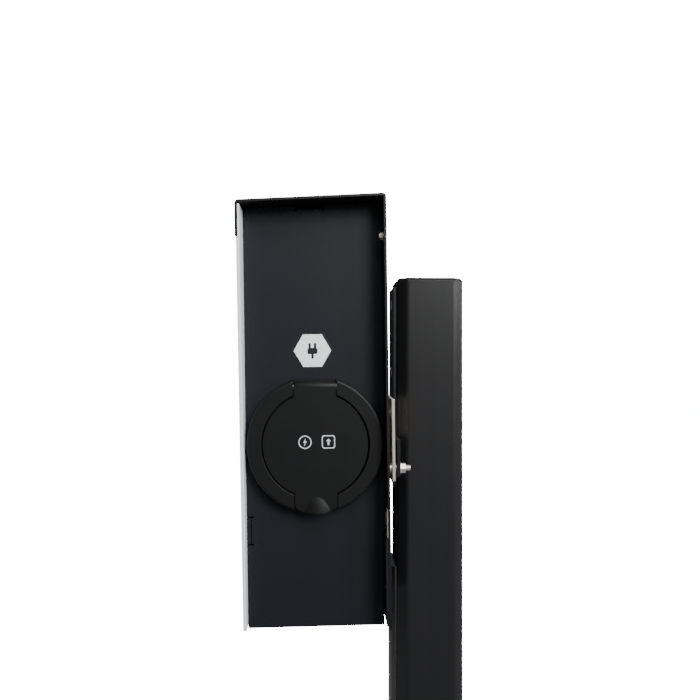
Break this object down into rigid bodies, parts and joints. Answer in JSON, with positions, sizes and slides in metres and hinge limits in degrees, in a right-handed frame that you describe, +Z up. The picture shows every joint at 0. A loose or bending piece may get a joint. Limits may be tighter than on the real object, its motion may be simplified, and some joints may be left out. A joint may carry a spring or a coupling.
{
  "type": "ev charging post",
  "caption": "Slim electric vehicle charging box with a lidded side socket, hung by a bracket on a black square profile post with a base plate for anchor bolts.",
  "frame": {"origin": "centre of the anchor bolt pattern at the underside of the base plate", "axes": "+Z up the post, +X from the box towards the post, -Y out of the socket side of the box"},
  "size_m": [0.2636, 0.21, 1.1568],
  "materials": {
    "black_anodised": "satin black anodised aluminium",
    "black_powder": "fine textured black powder coat",
    "graphite_powder": "fine textured graphite powder coat",
    "white_powder": "smooth white powder coat",
    "white_fascia": "white satin fascia",
    "grey_anodised": "satin grey anodised aluminium",
    "zinc": "zinc plated steel",
    "stainless": "stainless steel",
    "spring_steel": "spring steel wire",
    "black_rubber": "black rubber",
    "socket_plastic": "fine grained black polyamide",
    "insert_plastic": "smooth dark polyamide",
    "label_film": "white printed label",
    "clear_lens": "translucent light guide",
    "device_grey": "light grey moulded housing",
    "device_dark": "dark moulded housing",
    "lever_blue": "blue moulded lever",
    "button_yellow": "yellow push button",
    "board": "green circuit board with parts",
    "brass": "machined brass",
    "wire": "insulated conductors",
    "terminal_grey": "grey terminal housing",
    "nylon": "natural nylon"
  },
  "bodies": {
    "post": {"base_plate": "black_powder", "base_spigot": "zinc", "spigot_screws": "stainless", "post_profile": "black_anodised", "channel_cover": "grey_anodised", "post_cap": "black_anodised", "cap_screws": "stainless", "post_bracket": "black_powder", "clamp_bar": "zinc", "clamp_screws": "stainless", "hanger_plate": "zinc", "hanger_studs": "zinc", "hanger_spacers": "zinc", "hanger_nuts": "zinc", "rest_buffers": "black_rubber", "hood_shell": "black_powder", "front_sheet": "white_powder", "front_fascia": "white_fascia", "status_lens": "clear_lens", "status_board": "board", "reader_board": "board", "socket_side_panel": "graphite_powder", "plain_side_panel": "graphite_powder", "panel_clips": "zinc", "hood_screws": "zinc", "bottom_tray": "graphite_powder", "tray_screws": "stainless", "cable_grommet": "black_rubber", "mounting_plate": "zinc", "plate_standoffs": "zinc", "din_rails": "zinc", "breaker_body": "device_grey", "contactor": "device_grey", "energy_meter": "device_grey", "power_supply": "device_dark", "supply_terminals": "terminal_grey", "earth_terminal": "brass", "control_board": "board", "board_standoffs": "nylon", "socket_wires": "wire", "label_plate": "label_film", "flange_gasket": "black_rubber", "socket_flange": "socket_plastic", "flange_screws": "stainless", "lid_pin": "stainless", "lid_spring": "spring_steel", "socket_body": "insert_plastic", "socket_clamp_ring": "insert_plastic", "terminal_cover": "insert_plastic", "contact_carrier": "insert_plastic", "socket_contacts": "brass", "lock_housing": "device_dark"},
    "lid": {"socket_lid": "socket_plastic", "lid_seal": "black_rubber", "spring_arm": "spring_steel"},
    "lock": {"lock_pin": "stainless"},
    "lever": {"breaker_lever": "lever_blue"},
    "button": {"test_button": "button_yellow"}
  },
  "joints": [
    {"name": "lid_hinge", "type": "hinge", "parent": "post", "child": "lid", "pos_m": [-0.10212, -0.0911, 1.00638], "axis": [-0.9999, 0, -0.014], "range_deg": [0, 110], "stiffness_Nm_per_rad": 0.02, "springref_deg": -34.38},
    {"name": "lock_slide", "type": "slide", "parent": "post", "child": "lock", "axis": [0.014, 0, -0.9999], "range_m": [0, 0.0055]},
    {"name": "breaker_toggle", "type": "hinge", "parent": "post", "child": "lever", "pos_m": [-0.12265, -0.069, 1.0799], "axis": [0, -1, 0], "range_deg": [0, 50]},
    {"name": "test_press", "type": "slide", "parent": "post", "child": "button", "axis": [0.9999, 0, 0.014], "range_m": [0, 0.0015], "stiffness_N_per_m": 200}
  ]
}
